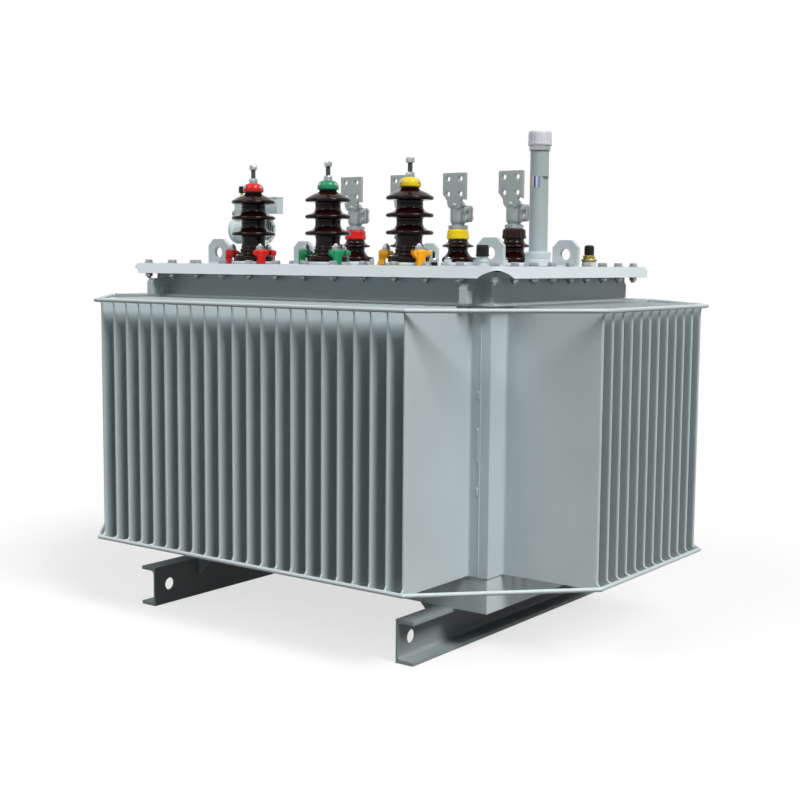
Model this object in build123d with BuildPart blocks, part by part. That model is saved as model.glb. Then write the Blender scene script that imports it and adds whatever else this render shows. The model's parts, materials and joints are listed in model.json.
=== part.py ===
from build123d import *
from math import cos, radians, sin
import os

# An oil-filled distribution transformer: a corrugated tank on two channel skids,
# with a bolted cover that carries the bushings, lifting eyes and fittings.
# Millimetres. +Z up, +X to the right along the long side, the high-voltage row
# faces -Y. The origin is on the ground, under the middle of the tank.

# Tank
tank_length = 1060
tank_width = 630
wall_sheet = 4
post_sheet = 6
pan_sheet = 6
pan_inset = 3
pan_height = 82

# Skids, a rolled channel
skid_height = 100
skid_flange = 48
skid_web = 5.3
skid_flange_thickness = 8.5
skid_root_radius = 8.5
skid_length = 934
skid_web_spacing = 776
skid_hole = 32
skid_hole_from_end = 52
gusset_leg = 45
gusset_sheet = 6

# Cooling fins
fin_clear_long = 30
fin_clear_short = 4
fin_pitch = 45
fin_depth = 242
fin_thickness = 8
fin_height = 612
fin_nose = 3
pinch_thickness = 3
pinch_band = 20
pinch_taper = 12
pinch_flare = 6
post_leg_long = 26
post_leg_short = 62.5
rod_diameter = 10
rod_level = 5
rod_gap = 0.3

# Top frame, gasket and cover
ledge_width = 18
ledge_thickness = 6
neck_height = 57
frame_sheet = 6
frame_flange_thickness = 12
gasket_thickness = 4
gasket_inset = 8
cover_thickness = 8
cover_overhang_x = 32
cover_overhang_y = 30
skirt_out = 22
skirt_drop = 22
skirt_sheet = 6
corner_relief = 34

# Lifting parts
hook_sheet = 20
hook_reach = 60
hook_height = 42
hook_notch = 16
hook_shoulder = 9
hook_from_end = 36
eye_width = 72
eye_height = 66
eye_sheet = 12
eye_hole = 30
eye_from_end = 94
eye_from_side = 140
centre_eye_width = 46
centre_eye_height = 56
centre_eye_hole = 17
centre_eye_x = 140

# High-voltage bushings
hv_spacing = 250
hv_from_side = 75
hv_seat = 5
hv_base_radius = 50
hv_base_height = 17
hv_core_radius = 31
hv_shed_radius = 56
hv_shed_pitch = 39.5
hv_first_shed = 68
hv_shed_count = 3
hv_neck_radius = 18.5
hv_neck_height = 10
hv_cap_radius = 26
hv_cap_height = 19
hv_nut_flats = 19
hv_nut_height = 12
hv_stud_diameter = 12
hv_stud_free = 22
clamp_count = 4
clamp_width = 24
clamp_reach = 66
clamp_height = 33
clamp_toe = 10
clamp_gap = 0.3

# Low-voltage bushings
lv_spacing = 177
lv_from_side = 115
lv_seat = 9
lv_seat_radius = 41
lv_bell_radius = 43
lv_waist_radius = 26
lv_shed_radius = 42.5
lv_porcelain_height = 61
lv_collar_radius = 30
lv_collar_height = 26
lv_nut_flats = 46
lv_nut_height = 12
lv_stem_radius = 15
lv_stem_gap = 4
barrel_radius = 22
barrel_height = 50
palm_width = 80
palm_height = 72
palm_thickness = 10
palm_neck = 26
palm_hole = 14
palm_hole_spacing = 40

# Oil gauge tube
gauge_from_end = 72
gauge_base_radius = 32
gauge_base_height = 18
gauge_collar_radius = 30.5
gauge_collar_height = 17
gauge_tube_radius = 22.5
gauge_tube_height = 242
gauge_ring_radius = 25.5
gauge_ring_height = 12
gauge_cap_radius = 28.5
gauge_cap_height = 34
gauge_window_height = 27
gauge_window_level = 152
gauge_window_depth = 6

# Gas relay on its riser
relay_from_end = 49
riser_radius = 26
riser_flange_radius = 44
riser_flange_thickness = 12
relay_axis_height = 95
relay_radius = 40
relay_length = 96
relay_flange_radius = 46
relay_flange_thickness = 12
relay_glass_radius = 31
relay_glass_recess = 3
relay_boss_height = 5
relay_boss_radius = 12
junction_box = 46
junction_box_depth = 56
cock_radius = 9
cock_height = 24
cock_neck_radius = 6
cock_neck_height = 12
cock_knob_radius = 10
cock_knob_height = 18

# Small fittings
pocket_from_end = 50
pocket_from_side = 100
knob_from_end = 60
knob_from_side = 53
earth_from_bushing = 95
earth_from_side = 40

# Levels and places that follow from the sizes above
half_length = tank_length / 2
half_width = tank_width / 2
long_span = tank_length - 2 * post_leg_long
short_span = tank_width - 2 * post_leg_short
fin_count_long = int((long_span - 2 * fin_clear_long) / fin_pitch) + 1
fin_count_short = int((short_span - 2 * fin_clear_short) / fin_pitch) + 1
eye_x = half_length - eye_from_end
eye_y = half_width - eye_from_side
hv_row = hv_from_side - half_width
lv_row = half_width - lv_from_side
gauge_x = half_length - gauge_from_end
relay_x = relay_from_end - half_length
pan_top = skid_height + pan_height
wall_bottom = pan_top
wall_top = wall_bottom + fin_height
ledge_top = wall_top + ledge_thickness
neck_top = ledge_top + neck_height
frame_top = neck_top + frame_flange_thickness
gasket_top = frame_top + gasket_thickness
cover_top = gasket_top + cover_thickness
cover_half_x = half_length + cover_overhang_x
cover_half_y = half_width + cover_overhang_y
rod_radius = rod_diameter / 2
rod_bottom_z = wall_bottom + rod_level
rod_top_z = wall_top - rod_level
rod_offset = fin_depth + pinch_flare + rod_radius
skid_web_x = skid_web_spacing / 2
skid_half = skid_length / 2

os.makedirs("parts", exist_ok=True)


def save(piece, label):
    """Label one finished piece and write its file."""
    piece.label = label
    export_step(piece, f"parts/{label}.step")


def ring(inner_x, inner_y, outer_x, outer_y):
    """Sketch a rectangular ring of the given half sizes."""
    Rectangle(2 * outer_x, 2 * outer_y)
    Rectangle(2 * inner_x, 2 * inner_y, mode=Mode.SUBTRACT)


# Skids: channels with their backs to the middle and their flanges outward
skid_profile = [
    (0, 0),
    (skid_flange, 0),
    (skid_flange, skid_flange_thickness),
    (skid_web, skid_flange_thickness),
    (skid_web, skid_height - skid_flange_thickness),
    (skid_flange, skid_height - skid_flange_thickness),
    (skid_flange, skid_height),
    (0, skid_height),
]
hole_rows = [-skid_half + skid_hole_from_end, skid_half - skid_hole_from_end]
for side, label in ((-1, "skid_left"), (1, "skid_right")):
    skid_plane = Plane(origin=(side * skid_web_x, skid_half, 0), x_dir=(side, 0, 0), z_dir=(0, -side, 0))
    with BuildPart() as skid:
        with BuildSketch(skid_plane):
            with BuildLine():
                Polyline(skid_profile, close=True)
            make_face()
        extrude(amount=side * skid_length)
        roots = skid.edges().filter_by(Axis.Y).filter_by_position(
            Axis.Z, skid_flange_thickness - 1, skid_height - skid_flange_thickness + 1
        )
        inner_roots = [edge for edge in roots if abs(abs(edge.center().X) - skid_web_x - skid_web) < 1]
        fillet(inner_roots, skid_root_radius)
        with BuildSketch(Plane.YZ.offset(side * skid_web_x)):
            with Locations(*[(row, skid_height / 2) for row in hole_rows]):
                Circle(skid_hole / 2)
        extrude(amount=side * skid_web, mode=Mode.SUBTRACT)
    save(skid.part, label)

# Gussets: small triangles between the skid backs and the pan floor
with BuildPart() as gussets:
    for face_y in (-half_width + pan_inset, half_width - pan_inset - gusset_sheet):
        with BuildSketch(Plane.XZ.offset(-face_y)):
            for side in (-1, 1):
                with BuildLine():
                    Polyline(
                        (side * skid_web_x, skid_height),
                        (side * (skid_web_x - gusset_leg), skid_height),
                        (side * skid_web_x, skid_height - gusset_leg),
                        close=True,
                    )
                make_face()
        extrude(amount=-gusset_sheet)
save(gussets.part, "skid_gussets")

# Tank pan: the plain lower part of the tank, a welded tray under the fins
with BuildPart() as pan:
    with BuildSketch(Plane.XY.offset(skid_height)):
        Rectangle(tank_length - 2 * pan_inset, tank_width - 2 * pan_inset)
    extrude(amount=pan_height)
    offset(amount=-pan_sheet, openings=pan.faces().sort_by(Axis.Z)[-1])
save(pan.part, "tank_pan")


def corrugated_wall(base, length, count):
    """A folded wall sheet: its fins are pinched flat and flared at both ends."""
    flared = fin_depth + pinch_flare
    stations = [
        (0, pinch_thickness, flared),
        (pinch_band, pinch_thickness, flared),
        (pinch_band + pinch_taper, fin_thickness, fin_depth),
        (fin_height - pinch_band - pinch_taper, fin_thickness, fin_depth),
        (fin_height - pinch_band, pinch_thickness, flared),
        (fin_height, pinch_thickness, flared),
    ]
    with BuildPart() as fin:
        for lower, upper in zip(stations[:-1], stations[1:]):
            for level, thickness, reach in (lower, upper):
                half = thickness / 2
                nose = min(fin_nose, half)
                with BuildSketch(base.offset(level)):
                    with BuildLine():
                        Polyline(
                            (-half, 0),
                            (-half, -reach + nose),
                            (-half + nose * 0.7, -reach),
                            (half - nose * 0.7, -reach),
                            (half, -reach + nose),
                            (half, 0),
                            close=True,
                        )
                    make_face()
            loft()
    first = -fin_pitch * (count - 1) / 2
    with BuildPart() as wall:
        with BuildSketch(base):
            with Locations((0, wall_sheet / 2)):
                Rectangle(length, wall_sheet)
        extrude(amount=fin_height)
        with Locations(*[base.x_dir * (first + fin_pitch * step) for step in range(count)]):
            add(fin.part)
    return wall.part


# Corrugated walls: two long ones and two short ones
wall_places = {
    "corrugated_wall_front": ((0, -half_width), (1, 0), long_span, fin_count_long),
    "corrugated_wall_back": ((0, half_width), (-1, 0), long_span, fin_count_long),
    "corrugated_wall_right": ((half_length, 0), (0, 1), short_span, fin_count_short),
    "corrugated_wall_left": ((-half_length, 0), (0, -1), short_span, fin_count_short),
}
for label, ((x, y), (along_x, along_y), length, count) in wall_places.items():
    wall_base = Plane(origin=(x, y, wall_bottom), x_dir=(along_x, along_y, 0), z_dir=(0, 0, 1))
    save(corrugated_wall(wall_base, length, count), label)

# Corner posts: angles that close the tank between the wall sheets
with BuildPart() as posts:
    with BuildSketch(Plane.XY.offset(wall_bottom)):
        Rectangle(tank_length, tank_width)
        Rectangle(tank_length - 2 * post_sheet, tank_width - 2 * post_sheet, mode=Mode.SUBTRACT)
        Rectangle(long_span, tank_width, mode=Mode.SUBTRACT)
        Rectangle(tank_length, short_span, mode=Mode.SUBTRACT)
    extrude(amount=fin_height)
save(posts.part, "corner_posts")


def tie_rods(level):
    """Eight straight bars round all the fin tips, one across each corner."""
    long_end = fin_pitch * (fin_count_long - 1) / 2 + fin_thickness
    short_end = fin_pitch * (fin_count_short - 1) / 2 + fin_thickness
    bar_x = half_length + rod_offset
    bar_y = half_width + rod_offset
    bends = [
        (-long_end, -bar_y),
        (long_end, -bar_y),
        (bar_x, -short_end),
        (bar_x, short_end),
        (long_end, bar_y),
        (-long_end, bar_y),
        (-bar_x, short_end),
        (-bar_x, -short_end),
    ]
    corners = [Vector(x, y, level) for x, y in bends]
    headings = [(end - start).normalized() for start, end in zip(corners, corners[1:] + corners[:1])]
    count = len(corners)
    bars = []
    for index, heading in enumerate(headings):
        start = corners[index]
        end = corners[(index + 1) % count]
        mitre_in = (headings[index - 1] + heading).normalized()
        mitre_out = (heading + headings[(index + 1) % count]).normalized()
        with BuildPart() as bar:
            with BuildSketch(Plane(origin=start - heading * rod_diameter, z_dir=heading)):
                Circle(rod_radius)
            extrude(amount=(end - start).length + 2 * rod_diameter)
            split(bisect_by=Plane(origin=start + mitre_in * rod_gap / 2, z_dir=mitre_in), keep=Keep.TOP)
            split(bisect_by=Plane(origin=end - mitre_out * rod_gap / 2, z_dir=mitre_out), keep=Keep.BOTTOM)
        bars.append(bar.part)
    with BuildPart() as rods:
        add(bars)
    return rods.part


# Tie rods that hold the fin tips at their pinched ends
save(tie_rods(rod_bottom_z), "bottom_tie_rods")
save(tie_rods(rod_top_z), "top_tie_rods")

# Wall ledge: the flat bar that closes the tops of the wall sheets
with BuildPart() as ledge:
    with BuildSketch(Plane.XY.offset(wall_top)):
        ring(
            half_length - frame_sheet,
            half_width - frame_sheet,
            half_length + ledge_width,
            half_width + ledge_width,
        )
    extrude(amount=ledge_thickness)
save(ledge.part, "wall_ledge")

# Tank top frame: the neck above the fins with the flange that the cover bolts to
with BuildPart() as frame:
    with BuildSketch(Plane.XY.offset(ledge_top)):
        ring(half_length - frame_sheet, half_width - frame_sheet, half_length, half_width)
    extrude(amount=neck_height)
    with BuildSketch(Plane.XY.offset(neck_top)):
        ring(half_length - frame_sheet, half_width - frame_sheet, cover_half_x - 2, cover_half_y - 2)
    extrude(amount=frame_flange_thickness)
save(frame.part, "tank_top_frame")

# Gasket between the flange and the cover
with BuildPart() as gasket:
    with BuildSketch(Plane.XY.offset(frame_top)):
        ring(half_length, half_width, cover_half_x - gasket_inset, cover_half_y - gasket_inset)
    extrude(amount=gasket_thickness)
save(gasket.part, "cover_gasket")

# Cover: a flat plate with four flared skirts and open, relieved corners
with BuildPart() as cover:
    with BuildSketch(Plane.XY.offset(gasket_top)):
        Rectangle(2 * cover_half_x, 2 * cover_half_y)
    extrude(amount=cover_thickness)
    fillet(cover.edges().filter_by(Axis.Z), corner_relief / 2)
    for edge_at, run in ((cover_half_y, cover_half_x), (cover_half_x, cover_half_y)):
        along_x = run == cover_half_x
        for side in (-1, 1):
            outward = Vector(0, side, 0) if along_x else Vector(side, 0, 0)
            skirt_plane = Plane(
                origin=outward * edge_at + Vector(0, 0, cover_top),
                x_dir=outward,
                z_dir=outward.cross(Vector(0, 0, 1)),
            )
            with BuildSketch(skirt_plane):
                with BuildLine():
                    Polyline(
                        (0, 0),
                        (skirt_out, -skirt_drop),
                        (skirt_out - skirt_sheet * 0.7, -skirt_drop - skirt_sheet * 0.7),
                        (-skirt_sheet * 0.7, -cover_thickness),
                        close=True,
                    )
                make_face()
            extrude(amount=run - corner_relief / 2, both=True)
save(cover.part, "cover")


# Tank hooks: four thick plates on the neck, beside the corners, for lifting the whole unit
hook_x = half_length - hook_from_end
with BuildPart() as hooks:
    for side_x in (-1, 1):
        for side_y in (-1, 1):
            hook_origin = (side_x * hook_x, side_y * half_width, ledge_top)
            outward = Vector(0, side_y, 0)
            with BuildSketch(Plane(origin=hook_origin, x_dir=outward, z_dir=outward.cross(Vector(0, 0, 1)))):
                with BuildLine():
                    Polyline(
                        (0, 0),
                        (hook_reach, 0),
                        (hook_reach, hook_height - hook_shoulder),
                        (hook_reach - hook_shoulder, hook_height),
                        (0, hook_height),
                        close=True,
                    )
                make_face()
                with Locations((hook_reach / 2, hook_height / 2 - hook_notch / 2)):
                    Circle(hook_notch / 2, mode=Mode.SUBTRACT)
                with Locations((hook_reach / 2, 0)):
                    Rectangle(hook_notch, hook_height - hook_notch, mode=Mode.SUBTRACT)
            extrude(amount=hook_sheet / 2, both=True)
save(hooks.part, "tank_hooks")


def lifting_eye(places, width, height, hole, sheet):
    """Upright plates with clipped top corners and a round hole, facing -Y."""
    clip = width / 4
    with BuildPart() as eyes:
        for x, y in places:
            with BuildSketch(Plane(origin=(x, y, cover_top), x_dir=(1, 0, 0), z_dir=(0, -1, 0))):
                with BuildLine():
                    Polyline(
                        (-width / 2, 0),
                        (width / 2, 0),
                        (width / 2, height - clip),
                        (width / 2 - clip, height),
                        (-width / 2 + clip, height),
                        (-width / 2, height - clip),
                        close=True,
                    )
                make_face()
                with Locations((0, height - width / 2)):
                    Circle(hole / 2, mode=Mode.SUBTRACT)
            extrude(amount=sheet / 2, both=True)
    return eyes.part


# Lifting eyes on the cover, and the smaller one near its middle
eye_places = [(side_x * eye_x, side_y * eye_y) for side_x in (-1, 1) for side_y in (-1, 1)]
save(lifting_eye(eye_places, eye_width, eye_height, eye_hole, eye_sheet), "cover_lifting_eyes")
save(
    lifting_eye([(centre_eye_x, 0)], centre_eye_width, centre_eye_height, centre_eye_hole, eye_sheet),
    "cover_centre_eye",
)

# High-voltage bushings: glazed porcelain with three sheds
hv_places = [(step * hv_spacing, hv_row) for step in (-1, 0, 1)]
hv_base = cover_top + hv_seat
hv_base_top = hv_base + hv_base_height
hv_top_shed = cover_top + hv_first_shed + (hv_shed_count - 1) * hv_shed_pitch
hv_neck_bottom = hv_top_shed + 30
hv_neck_top = hv_neck_bottom + hv_neck_height
hv_cap_top = hv_neck_top + hv_cap_height
hv_lower_nut_top = hv_cap_top + hv_nut_height
hv_stud_top = hv_lower_nut_top + hv_stud_free
hv_outline = [
    (0, hv_base),
    (hv_base_radius, hv_base),
    (hv_base_radius, hv_base_top - 4),
    (hv_base_radius - 4, hv_base_top),
    (hv_base_radius - clamp_toe - 2, hv_base_top),
    (hv_core_radius + 4, hv_base_top + 4),
    (hv_core_radius + 3, hv_base_top + 12),
    (hv_core_radius, hv_base_top + 15),
]
for shed in range(hv_shed_count):
    shed_z = cover_top + hv_first_shed + shed * hv_shed_pitch
    hv_outline += [
        (hv_core_radius, shed_z + 5),
        (hv_shed_radius - 3, shed_z + 5),
        (hv_shed_radius, shed_z + 8),
        (hv_shed_radius - 3, shed_z + 12),
    ]
    if shed < hv_shed_count - 1:
        hv_outline += [(hv_core_radius + 8, shed_z + 16), (hv_core_radius, shed_z + 22)]
hv_outline += [
    (hv_shed_radius - 14, hv_top_shed + 19),
    (hv_neck_radius + 5, hv_neck_bottom - 4),
    (hv_neck_radius, hv_neck_bottom),
    (hv_neck_radius, hv_neck_top),
    (0, hv_neck_top),
]
with BuildPart() as hv_porcelain:
    for x, y in hv_places:
        with BuildSketch(Plane(origin=(x, y, 0), x_dir=(1, 0, 0), z_dir=(0, -1, 0))):
            with BuildLine():
                Polyline(hv_outline, close=True)
            make_face()
        revolve(axis=Axis((x, y, 0), (0, 0, 1)))
save(hv_porcelain.part, "hv_bushings")

# High-voltage seats: the gasket rings under the porcelain
with BuildPart() as hv_seats:
    with BuildSketch(Plane.XY.offset(cover_top)):
        with Locations(*hv_places):
            Circle(hv_base_radius - 2)
    extrude(amount=hv_seat)
save(hv_seats.part, "hv_seats")

# Phase colours run red, green, yellow from the left
phases = ("red", "green", "yellow")
for phase, (x, y) in zip(phases, hv_places):
    # Domed cap that closes the top of the porcelain
    with BuildPart() as cap:
        with BuildSketch(Plane(origin=(x, y, hv_neck_top), x_dir=(1, 0, 0), z_dir=(0, -1, 0))):
            with BuildLine():
                Polyline(
                    (0, 0),
                    (hv_cap_radius, 0),
                    (hv_cap_radius, hv_cap_height * 0.35),
                    (hv_cap_radius * 0.82, hv_cap_height * 0.75),
                    (hv_cap_radius * 0.5, hv_cap_height),
                    (0, hv_cap_height),
                    close=True,
                )
            make_face()
        revolve(axis=Axis((x, y, 0), (0, 0, 1)))
    save(cap.part, f"hv_cap_{phase}")

    # Cast claws that hold the base flange down, one at each quarter
    with BuildPart() as claws:
        for turn in range(clamp_count):
            angle = 45 + turn * 360 / clamp_count
            outward = Vector(cos(radians(angle)), sin(radians(angle)), 0)
            claw_plane = Plane(
                origin=Vector(x, y, cover_top) + outward * (hv_base_radius + clamp_gap),
                x_dir=outward,
                z_dir=outward.cross(Vector(0, 0, 1)),
            )
            claw_foot = clamp_reach - hv_base_radius
            lip = hv_seat + hv_base_height + clamp_gap
            with BuildSketch(claw_plane):
                with BuildLine():
                    Polyline(
                        (0, 0),
                        (claw_foot, 0),
                        (claw_foot, clamp_height - 3),
                        (claw_foot - 3, clamp_height),
                        (-clamp_toe, lip + 4),
                        (-clamp_toe, lip),
                        (0, lip),
                        close=True,
                    )
                make_face()
            extrude(amount=clamp_width / 2, both=True)
    save(claws.part, f"hv_clamps_{phase}")

# High-voltage terminals: a stud between two nuts on each cap
with BuildPart() as hv_studs:
    for x, y in hv_places:
        for level in (hv_cap_top, hv_stud_top):
            with BuildSketch(Plane(origin=(x, y, level))):
                RegularPolygon(hv_nut_flats / 2, 6, major_radius=False)
            extrude(amount=hv_nut_height)
        with BuildSketch(Plane(origin=(x, y, hv_cap_top))):
            Circle(hv_stud_diameter / 2)
        extrude(amount=hv_stud_top - hv_cap_top + hv_nut_height)
save(hv_studs.part, "hv_terminal_studs")

# Low-voltage bushings: squat porcelain bells with one small shed
lv_places = [((step - 1.5) * lv_spacing, lv_row) for step in range(4)]
lv_base = cover_top + lv_seat
lv_collar_base = lv_base + lv_porcelain_height
lv_collar_top = lv_collar_base + lv_collar_height
lv_nut_top = lv_collar_top + lv_nut_height
barrel_bottom = lv_nut_top + lv_stem_gap
barrel_top = barrel_bottom + barrel_height
palm_bottom = barrel_top + palm_neck - 14
palm_top = palm_bottom + palm_height
lv_outline = [
    (0, lv_base),
    (lv_bell_radius - 2, lv_base),
    (lv_bell_radius, lv_base + 6),
    (lv_bell_radius - 4, lv_base + 14),
    (lv_waist_radius + 4, lv_base + 30),
    (lv_waist_radius, lv_base + 36),
    (lv_waist_radius, lv_base + 40),
    (lv_shed_radius - 2, lv_base + 42),
    (lv_shed_radius, lv_base + 44),
    (lv_shed_radius - 4, lv_base + 48),
    (lv_waist_radius + 2, lv_base + 55),
    (lv_waist_radius, lv_collar_base),
    (0, lv_collar_base),
]
with BuildPart() as lv_porcelain:
    for x, y in lv_places:
        with BuildSketch(Plane(origin=(x, y, 0), x_dir=(1, 0, 0), z_dir=(0, -1, 0))):
            with BuildLine():
                Polyline(lv_outline, close=True)
            make_face()
        revolve(axis=Axis((x, y, 0), (0, 0, 1)))
save(lv_porcelain.part, "lv_bushings")

# Low-voltage seats: the clamped metal rings under the bells
with BuildPart() as lv_seats:
    with BuildSketch(Plane.XY.offset(cover_top)):
        with Locations(*lv_places):
            Circle(lv_seat_radius)
    extrude(amount=lv_seat)
save(lv_seats.part, "lv_seats")

# Low-voltage collars: screwed insulating caps in the phase colours, and a plain one for the neutral
for phase, (x, y) in zip(phases + ("neutral",), lv_places):
    with BuildPart() as collar:
        with BuildSketch(Plane(origin=(x, y, lv_collar_base))):
            Circle(lv_collar_radius)
        extrude(amount=lv_collar_height)
        chamfer(collar.edges().filter_by(GeomType.CIRCLE), 3)
    save(collar.part, f"lv_collar_{phase}")


# Low-voltage terminals: nut, stem, clamping barrel and drilled palm
palm_drop = palm_bottom - barrel_top
palm_half = palm_width / 2
with BuildPart() as lv_terminals:
    for x, y in lv_places:
        with BuildSketch(Plane(origin=(x, y, lv_collar_top))):
            RegularPolygon(lv_nut_flats / 2, 6, major_radius=False)
        extrude(amount=lv_nut_height)
        with BuildSketch(Plane(origin=(x, y, lv_nut_top))):
            Circle(lv_stem_radius)
        extrude(amount=lv_stem_gap)
        with BuildSketch(Plane(origin=(x, y, barrel_bottom))):
            Circle(barrel_radius)
        extrude(amount=barrel_height)
        palm_back = y - barrel_radius + palm_thickness / 2
        with BuildSketch(Plane(origin=(x, palm_back, barrel_top), x_dir=(1, 0, 0), z_dir=(0, -1, 0))):
            with BuildLine():
                Polyline(
                    (-barrel_radius, -barrel_height / 3),
                    (barrel_radius, -barrel_height / 3),
                    (barrel_radius, palm_drop * 0.4),
                    (palm_half - 10, palm_drop - 2),
                    (palm_half, palm_drop + 4),
                    (palm_half, palm_drop + palm_height),
                    (-palm_half, palm_drop + palm_height),
                    (-palm_half, palm_drop + 2),
                    (-palm_half + 8, palm_drop - 3),
                    (-barrel_radius - 3, palm_drop * 0.3),
                    close=True,
                )
            make_face()
            with Locations((0, palm_drop + palm_height / 2)):
                with GridLocations(palm_hole_spacing, palm_hole_spacing, 2, 2):
                    Circle(palm_hole / 2, mode=Mode.SUBTRACT)
        extrude(amount=palm_thickness)
save(lv_terminals.part, "lv_terminals")

# Oil gauge: base, tube with its sight window, and screw cap
gauge_tube_bottom = cover_top + gauge_base_height + gauge_collar_height
gauge_tube_top = gauge_tube_bottom + gauge_tube_height
with BuildPart() as gauge_base:
    with BuildSketch(Plane(origin=(gauge_x, 0, cover_top))):
        Circle(gauge_base_radius)
    extrude(amount=gauge_base_height)
    with BuildSketch(Plane(origin=(gauge_x, 0, cover_top + gauge_base_height))):
        Circle(gauge_collar_radius)
    extrude(amount=gauge_collar_height)
    chamfer(gauge_base.edges().filter_by(GeomType.CIRCLE).sort_by(Axis.Z)[-1], 2)
save(gauge_base.part, "gauge_base")

with BuildPart() as gauge_tube:
    with BuildSketch(Plane(origin=(gauge_x, 0, gauge_tube_bottom))):
        Circle(gauge_tube_radius)
    extrude(amount=gauge_tube_height)
    window_z = gauge_tube_bottom + gauge_window_level
    with BuildSketch(Plane(origin=(gauge_x, 0, window_z))):
        with Locations((gauge_tube_radius, 0)):
            Rectangle(2 * gauge_window_depth, 2 * gauge_tube_radius)
    extrude(amount=gauge_window_height, mode=Mode.SUBTRACT)
save(gauge_tube.part, "gauge_tube")

with BuildPart() as gauge_cap:
    with BuildSketch(Plane(origin=(gauge_x, 0, gauge_tube_top))):
        Circle(gauge_ring_radius)
    extrude(amount=gauge_ring_height)
    with BuildSketch(Plane(origin=(gauge_x, 0, gauge_tube_top + gauge_ring_height))):
        Circle(gauge_cap_radius)
    extrude(amount=gauge_cap_height)
    fillet(gauge_cap.edges().filter_by(GeomType.CIRCLE).sort_by(Axis.Z)[-1], 6)
save(gauge_cap.part, "gauge_cap")

# Gas relay: a drum between two flanges on a riser, with a sight glass in its right end
relay_axis_z = cover_top + relay_axis_height
relay_box_x = relay_x + relay_length / 2 - junction_box / 2 + 10
relay_box_z = relay_axis_z + relay_flange_radius
relay_boss_z = relay_axis_z + relay_radius + relay_boss_height
cock_x = relay_x - relay_length / 6
with BuildPart() as riser:
    with BuildSketch(Plane(origin=(relay_x, 0, cover_top))):
        Circle(riser_flange_radius)
    extrude(amount=riser_flange_thickness)
    with BuildSketch(Plane(origin=(relay_x, 0, cover_top + riser_flange_thickness))):
        Circle(riser_radius)
    extrude(amount=relay_axis_height - riser_flange_thickness)
    with BuildSketch(Plane.YZ.offset(relay_x)):
        with Locations((0, relay_axis_z)):
            Circle(relay_radius)
    extrude(amount=riser_flange_radius, both=True, mode=Mode.SUBTRACT)
save(riser.part, "relay_riser")

with BuildPart() as relay:
    with BuildSketch(Plane.YZ.offset(relay_x)):
        with Locations((0, relay_axis_z)):
            Circle(relay_radius)
    extrude(amount=relay_length / 2, both=True)
    for side in (-1, 1):
        flange_at = relay_x + side * (relay_length - relay_flange_thickness) / 2
        with BuildSketch(Plane.YZ.offset(flange_at)):
            with Locations((0, relay_axis_z)):
                Circle(relay_flange_radius)
        extrude(amount=relay_flange_thickness / 2, both=True)
    with BuildSketch(Plane.YZ.offset(relay_x + relay_length / 2 - relay_glass_recess)):
        with Locations((0, relay_axis_z)):
            Circle(relay_glass_radius)
    extrude(amount=relay_glass_recess, mode=Mode.SUBTRACT)
    with BuildSketch(Plane(origin=(cock_x, 0, relay_axis_z))):
        Circle(relay_boss_radius)
    extrude(amount=relay_radius + relay_boss_height)
save(relay.part, "relay_body")

with BuildPart() as relay_glass:
    with BuildSketch(Plane.YZ.offset(relay_x + relay_length / 2 - relay_glass_recess)):
        with Locations((0, relay_axis_z)):
            Circle(relay_glass_radius)
    extrude(amount=relay_glass_recess)
save(relay_glass.part, "relay_sight_glass")

with BuildPart() as relay_box:
    with BuildSketch(Plane(origin=(relay_box_x, 0, relay_box_z))):
        Rectangle(junction_box, junction_box_depth)
    extrude(amount=junction_box)
    fillet(relay_box.edges().filter_by(Axis.Z), 4)
save(relay_box.part, "relay_junction_box")

with BuildPart() as cock:
    cock_level = relay_boss_z
    for radius, height in (
        (cock_radius, cock_height),
        (cock_neck_radius, cock_neck_height),
        (cock_knob_radius, cock_knob_height),
    ):
        with BuildSketch(Plane(origin=(cock_x, 0, cock_level))):
            Circle(radius)
        extrude(amount=height)
        cock_level += height
save(cock.part, "relay_test_cock")


def stepped_fitting(x, y, steps):
    """A round fitting on the cover, given as radius and height from the bottom up."""
    level = cover_top
    with BuildPart() as fitting:
        for radius, height in steps:
            with BuildSketch(Plane(origin=(x, y, level))):
                Circle(radius)
            extrude(amount=height)
            level += height
    return fitting.part


# Thermometer pocket, drain knob and earth stud
pocket_place = (half_length - pocket_from_end, half_width - pocket_from_side)
knob_place = (half_length - knob_from_end, knob_from_side - half_width)
earth_place = (hv_spacing + earth_from_bushing, earth_from_side - half_width)
save(stepped_fitting(*pocket_place, ((18, 12), (19, 5), (14, 9), (12, 22))), "thermometer_pocket")
save(stepped_fitting(*knob_place, ((13, 20), (15, 24))), "filling_knob")
save(stepped_fitting(*earth_place, ((9, 8), (11, 9), (3, 16))), "cover_stud")
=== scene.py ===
"""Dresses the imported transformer: paint, porcelain, fittings, bolts and welds, lights and camera."""

import json
import math

import bpy
from mathutils import Matrix, Vector, noise


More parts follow.
